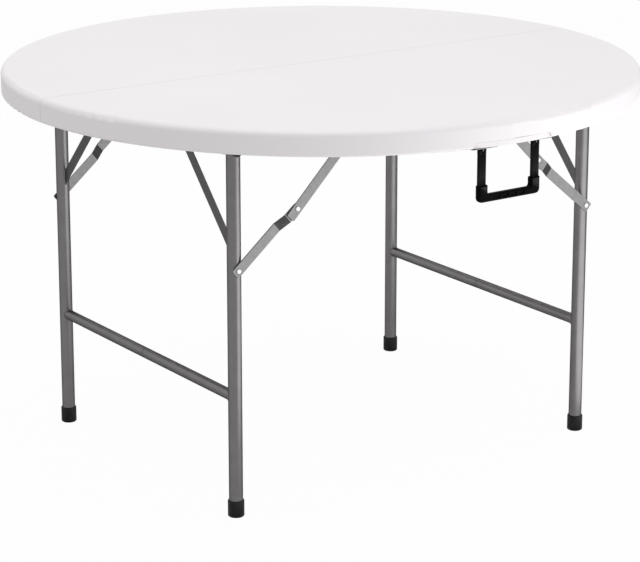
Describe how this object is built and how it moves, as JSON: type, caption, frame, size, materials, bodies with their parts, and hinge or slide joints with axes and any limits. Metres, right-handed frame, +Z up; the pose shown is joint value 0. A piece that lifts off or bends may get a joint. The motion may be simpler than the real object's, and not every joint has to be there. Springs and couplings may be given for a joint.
{
  "type": "folding table",
  "caption": "Round folding garden table: white moulded top in halves on grey steel folding leg frames with locking braces and a black carrying handle.",
  "frame": {"origin": "on the floor under the middle of the top", "axes": "+X along the seam between the two top halves, +Y towards the rear half (the handle hangs at the front, on -Y), +Z up"},
  "size_m": [1.22, 1.22, 0.74],
  "materials": {
    "top_plastic": "fine moulded texture, satin",
    "grey_steel": "grey powder coat, semi-gloss",
    "zinc_steel": "zinc plated",
    "bright_steel": "bright plated",
    "black_plastic": "moulded, satin",
    "black_rubber": "moulded rubber"
  },
  "bodies": {
    "root": {"handle_clip_screws": "bright_steel", "handle_clips": "bright_steel", "handle_pins": "bright_steel", "left_brace_brackets": "zinc_steel", "left_bracket_pins": "bright_steel", "left_bracket_screws": "bright_steel", "left_pivot_saddles": "zinc_steel", "left_saddle_screws": "bright_steel", "right_brace_brackets": "zinc_steel", "right_bracket_pins": "bright_steel", "right_bracket_screws": "bright_steel", "right_pivot_saddles": "zinc_steel", "right_saddle_screws": "bright_steel", "seam_hinge_leaves_front": "zinc_steel", "seam_hinge_leaves_rear": "zinc_steel", "seam_hinge_pins": "bright_steel", "seam_hinge_screws": "bright_steel", "top_half_front": "top_plastic", "top_half_rear": "top_plastic"},
    "handle": {"carry_handle": "black_plastic"},
    "left_frame": {"left_foot_caps": "black_rubber", "left_frame_couplers": "black_plastic", "left_front_leg": "grey_steel", "left_front_stretcher": "grey_steel", "left_front_strut": "grey_steel", "left_front_top_tube": "grey_steel", "left_leg_rivets": "bright_steel", "left_rear_leg": "grey_steel", "left_rear_stretcher": "grey_steel", "left_rear_strut": "grey_steel", "left_rear_top_tube": "grey_steel", "left_top_tube_plugs": "black_plastic"},
    "left_lower_links": {"left_front_lower_link": "zinc_steel", "left_rear_lower_link": "zinc_steel"},
    "left_upper_links": {"left_front_upper_link": "zinc_steel", "left_rear_upper_link": "zinc_steel", "left_knee_rivets": "bright_steel"},
    "right_frame": {"right_foot_caps": "black_rubber", "right_frame_couplers": "black_plastic", "right_front_leg": "grey_steel", "right_front_stretcher": "grey_steel", "right_front_strut": "grey_steel", "right_front_top_tube": "grey_steel", "right_leg_rivets": "bright_steel", "right_rear_leg": "grey_steel", "right_rear_stretcher": "grey_steel", "right_rear_strut": "grey_steel", "right_rear_top_tube": "grey_steel", "right_top_tube_plugs": "black_plastic"},
    "right_lower_links": {"right_front_lower_link": "zinc_steel", "right_rear_lower_link": "zinc_steel"},
    "right_upper_links": {"right_front_upper_link": "zinc_steel", "right_rear_upper_link": "zinc_steel", "right_knee_rivets": "bright_steel"}
  },
  "joints": [
    {"name": "left_frame_fold", "type": "hinge", "parent": "root", "child": "left_frame", "pos_m": [-0.4, 0, 0.6815], "axis": [0, -1, 0], "range_deg": [0, 90]},
    {"name": "left_lower_link_turn", "type": "hinge", "parent": "left_frame", "child": "left_lower_links", "pos_m": [-0.4, 0, 0.462], "axis": [0, -1, 0], "range_deg": [0, 49.96]},
    {"name": "left_upper_link_turn", "type": "hinge", "parent": "root", "child": "left_upper_links", "pos_m": [-0.165, 0, 0.6815], "axis": [0, 1, 0], "range_deg": [0, 45.77]},
    {"name": "right_frame_fold", "type": "hinge", "parent": "root", "child": "right_frame", "pos_m": [0.4, 0, 0.71], "axis": [0, 1, 0], "range_deg": [0, 90]},
    {"name": "right_lower_link_turn", "type": "hinge", "parent": "right_frame", "child": "right_lower_links", "pos_m": [0.4, 0, 0.462], "axis": [0, 1, 0], "range_deg": [0, 50.1]},
    {"name": "right_upper_link_turn", "type": "hinge", "parent": "root", "child": "right_upper_links", "pos_m": [0.13, 0, 0.71], "axis": [0, -1, 0], "range_deg": [0, 44.94]},
    {"name": "handle_swing", "type": "hinge", "parent": "root", "child": "handle", "pos_m": [-0.016, -0.592, 0.6894], "axis": [1, 0, 0], "range_deg": [-90, 90]}
  ],
  "couplings": [
    {"joint": "left_lower_link_turn", "follows": "left_frame_fold", "ratio": 0.55495},
    {"joint": "left_upper_link_turn", "follows": "left_frame_fold", "ratio": 0.50849},
    {"joint": "right_lower_link_turn", "follows": "right_frame_fold", "ratio": 0.55656},
    {"joint": "right_upper_link_turn", "follows": "right_frame_fold", "ratio": 0.49917}
  ]
}
